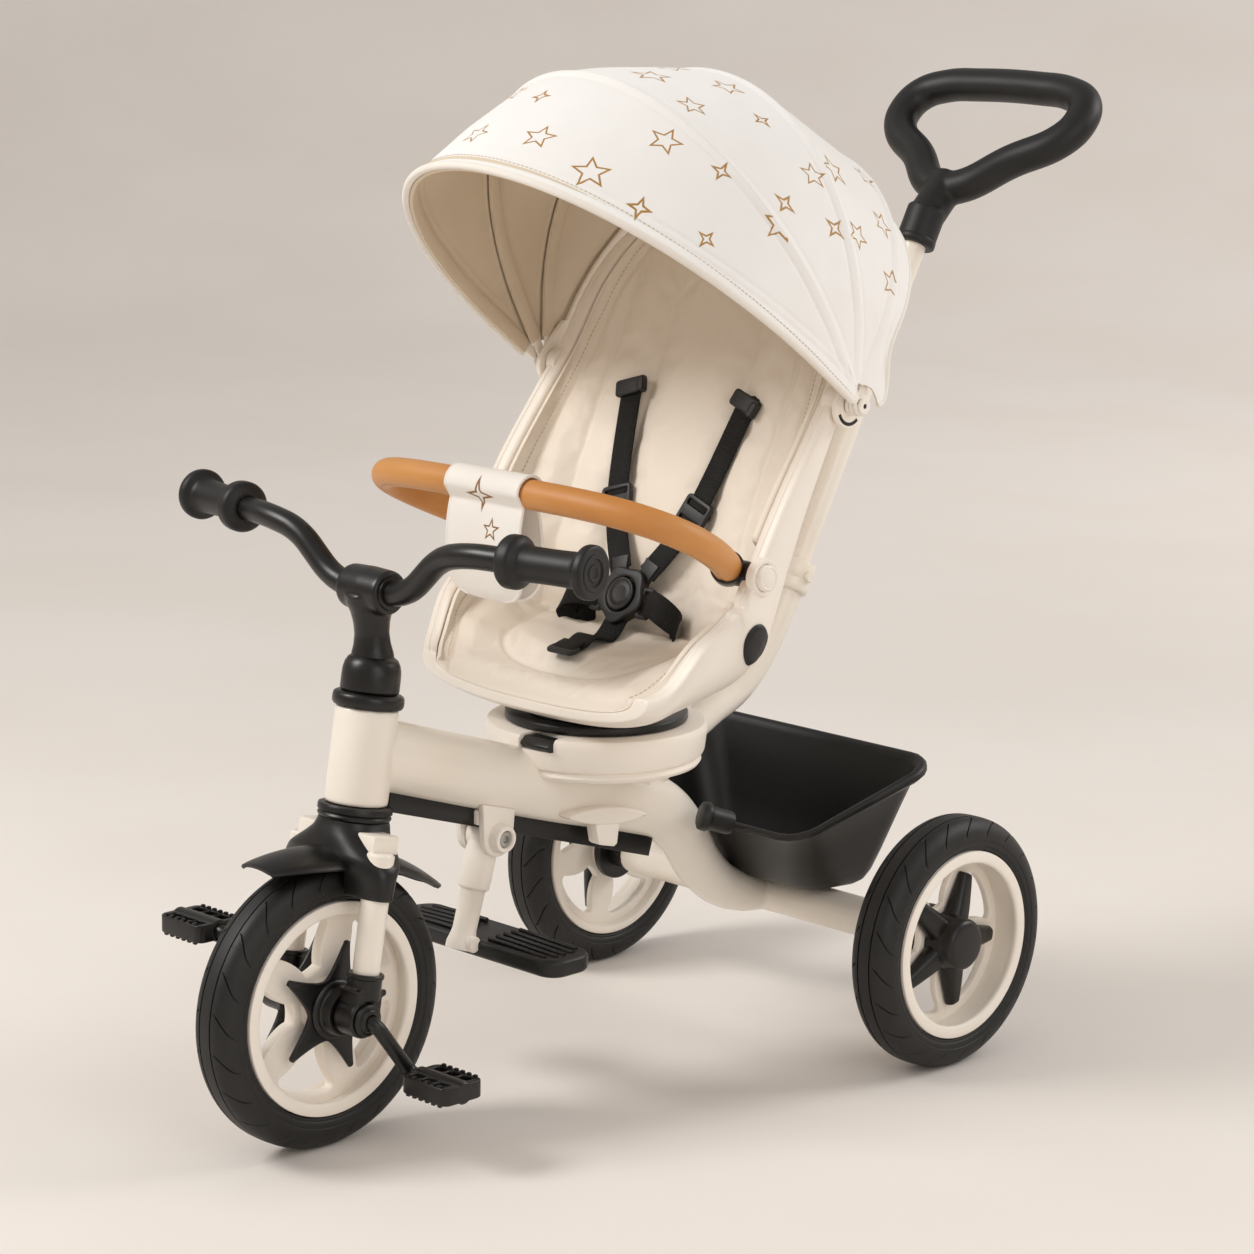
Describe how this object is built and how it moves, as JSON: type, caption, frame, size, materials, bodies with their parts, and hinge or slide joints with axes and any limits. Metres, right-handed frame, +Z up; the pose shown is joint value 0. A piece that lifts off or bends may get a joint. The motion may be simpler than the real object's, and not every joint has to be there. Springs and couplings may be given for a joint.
{
  "type": "children's tricycle",
  "caption": "Push-along children's tricycle with a turning bucket seat, harness, bumper bar, folding canopy, parent handle, basket and folding footrest.",
  "frame": {"origin": "bottom centre of the whole tricycle's box, on the ground", "axes": "+Z up, front wheel towards -Y, rider's left +X"},
  "size_m": [0.5206, 1.0558, 0.923],
  "materials": {
    "cream_paint": "satin",
    "cream_plastic": "satin",
    "black_plastic": "satin",
    "tyre": "moulded, diagonal grooves",
    "seat_fabric": "padded",
    "canopy_fabric": "woven, printed with small stars",
    "webbing": "woven",
    "tan_leather": "smooth",
    "steel": "brushed"
  },
  "bodies": {
    "frame": {"main_frame": "cream_paint", "steering_channel": "black_plastic", "headset_upper_cup": "black_plastic", "headset_lower_cup": "black_plastic", "seat_base": "cream_plastic", "pole_arm": "cream_paint", "rear_axle": "steel", "basket": "black_plastic", "footrest_bracket": "cream_plastic"},
    "steering": {"fork": "cream_paint", "fork_fairing": "black_plastic", "dropout_left": "black_plastic", "dropout_right": "black_plastic", "stem": "black_plastic", "handlebar": "black_plastic", "grip_left": "black_plastic", "grip_right": "black_plastic"},
    "front_wheel": {"front_tyre": "tyre", "front_rim": "cream_plastic", "front_hub": "black_plastic", "crank_axle": "black_plastic"},
    "pedal_left": {"pedal_left": "black_plastic"},
    "pedal_right": {"pedal_right": "black_plastic"},
    "rear_wheel_left": {"rear_tyre_left": "tyre", "rear_rim_left": "cream_plastic", "rear_hub_left": "black_plastic"},
    "rear_wheel_right": {"rear_tyre_right": "tyre", "rear_rim_right": "cream_plastic", "rear_hub_right": "black_plastic"},
    "turntable": {"turntable": "black_plastic"},
    "seat": {"seat_shell": "cream_plastic", "seat_liner": "seat_fabric", "shoulder_strap_left": "webbing", "shoulder_strap_right": "webbing", "waist_strap": "webbing", "crotch_strap": "webbing", "harness_buckle": "black_plastic", "side_cover_left": "black_plastic", "side_cover_right": "black_plastic", "canopy_base": "cream_plastic", "canopy_panel_rear": "canopy_fabric"},
    "buckle_button": {"buckle_button": "black_plastic"},
    "bumper": {"bumper_bar": "tan_leather", "bumper_end_left": "black_plastic", "bumper_end_right": "black_plastic", "bumper_cover": "canopy_fabric"},
    "bumper_button_left": {"bumper_button_left": "cream_plastic"},
    "bumper_button_right": {"bumper_button_right": "cream_plastic"},
    "canopy_third": {"canopy_bow_third": "cream_plastic", "canopy_panel_third": "canopy_fabric"},
    "canopy_second": {"canopy_bow_second": "cream_plastic", "canopy_panel_second": "canopy_fabric"},
    "canopy_front": {"canopy_bow_front": "cream_plastic", "canopy_panel_front": "canopy_fabric"},
    "footrest": {"footrest_leg": "cream_plastic", "footrest_plate": "black_plastic"},
    "handle": {"push_pole": "cream_paint", "handle_loop": "black_plastic"},
    "turn_lever": {"turn_lever": "black_plastic"},
    "release_button": {"release_button": "cream_plastic"}
  },
  "joints": [
    {"name": "steering", "type": "hinge", "parent": "frame", "child": "steering", "pos_m": [0, -0.35963, 0.3], "axis": [0, 0.1564, 0.9877], "range_deg": [-30, 30]},
    {"name": "front_wheel_spin", "type": "hinge", "parent": "steering", "child": "front_wheel", "pos_m": [0, -0.4016, 0.12704], "axis": [1, 0, 0], "continuous": true},
    {"name": "pedal_left_spin", "type": "hinge", "parent": "front_wheel", "child": "pedal_left", "pos_m": [0.116, -0.36222, 0.07283], "axis": [1, 0, 0], "continuous": true},
    {"name": "pedal_right_spin", "type": "hinge", "parent": "front_wheel", "child": "pedal_right", "pos_m": [-0.116, -0.44099, 0.18124], "axis": [1, 0, 0], "continuous": true},
    {"name": "rear_wheel_left_spin", "type": "hinge", "parent": "frame", "child": "rear_wheel_left", "pos_m": [0.2305, 0.17437, 0.12], "axis": [1, 0, 0], "continuous": true},
    {"name": "rear_wheel_right_spin", "type": "hinge", "parent": "frame", "child": "rear_wheel_right", "pos_m": [-0.2305, 0.17437, 0.12], "axis": [1, 0, 0], "continuous": true},
    {"name": "seat_turn", "type": "hinge", "parent": "frame", "child": "turntable", "pos_m": [0, -0.06563, 0.332], "axis": [0, 0, 1], "continuous": true},
    {"name": "seat_recline", "type": "hinge", "parent": "turntable", "child": "seat", "pos_m": [0, -0.05063, 0.342], "axis": [-1, 0, 0], "range_deg": [0, 9]},
    {"name": "buckle_press", "type": "slide", "parent": "seat", "child": "buckle_button", "axis": [0, 0.8988, -0.4384], "range_m": [0, 0.002], "stiffness_N_per_m": 400, "springref_m": -0.0015},
    {"name": "bumper_swing", "type": "hinge", "parent": "seat", "child": "bumper", "pos_m": [0, -0.04663, 0.488], "axis": [-1, 0, 0], "range_deg": [-8, 40]},
    {"name": "bumper_button_left_press", "type": "slide", "parent": "seat", "child": "bumper_button_left", "axis": [-1, 0, 0], "range_m": [0, 0.003], "stiffness_N_per_m": 400, "springref_m": -0.001},
    {"name": "bumper_button_right_press", "type": "slide", "parent": "seat", "child": "bumper_button_right", "axis": [1, 0, 0], "range_m": [0, 0.003], "stiffness_N_per_m": 400, "springref_m": -0.001},
    {"name": "canopy_fold", "type": "hinge", "parent": "seat", "child": "canopy_third", "pos_m": [0, 0.05637, 0.634], "axis": [-1, 0, 0], "range_deg": [0, 26], "deforming": ["canopy_panel_third"]},
    {"name": "canopy_fold_second", "type": "hinge", "parent": "canopy_third", "child": "canopy_second", "pos_m": [0, 0.05637, 0.634], "axis": [-1, 0, 0], "range_deg": [0, 22], "deforming": ["canopy_panel_second"]},
    {"name": "canopy_fold_front", "type": "hinge", "parent": "canopy_second", "child": "canopy_front", "pos_m": [0, 0.05637, 0.634], "axis": [-1, 0, 0], "range_deg": [0, 19.5], "deforming": ["canopy_panel_front"]},
    {"name": "footrest_fold", "type": "hinge", "parent": "frame", "child": "footrest", "pos_m": [0, -0.20563, 0.245], "axis": [1, 0, 0], "range_deg": [0, 50]},
    {"name": "handle_turn", "type": "hinge", "parent": "frame", "child": "handle", "pos_m": [0, 0.20537, 0.441], "axis": [0, 0.4741, 0.8805], "range_deg": [-30, 30]},
    {"name": "turn_lever_press", "type": "slide", "parent": "frame", "child": "turn_lever", "axis": [0, 1, 0], "range_m": [0, 0.004], "stiffness_N_per_m": 300, "springref_m": -0.001},
    {"name": "release_button_press", "type": "slide", "parent": "frame", "child": "release_button", "axis": [0, 0, 1], "range_m": [0, 0.004], "stiffness_N_per_m": 300, "springref_m": -0.002}
  ],
  "couplings": [
    {"joint": "handle_turn", "follows": "steering", "ratio": 1},
    {"joint": "canopy_fold_second", "follows": "canopy_fold", "ratio": 0.8462},
    {"joint": "canopy_fold_front", "follows": "canopy_fold", "ratio": 0.75}
  ]
}
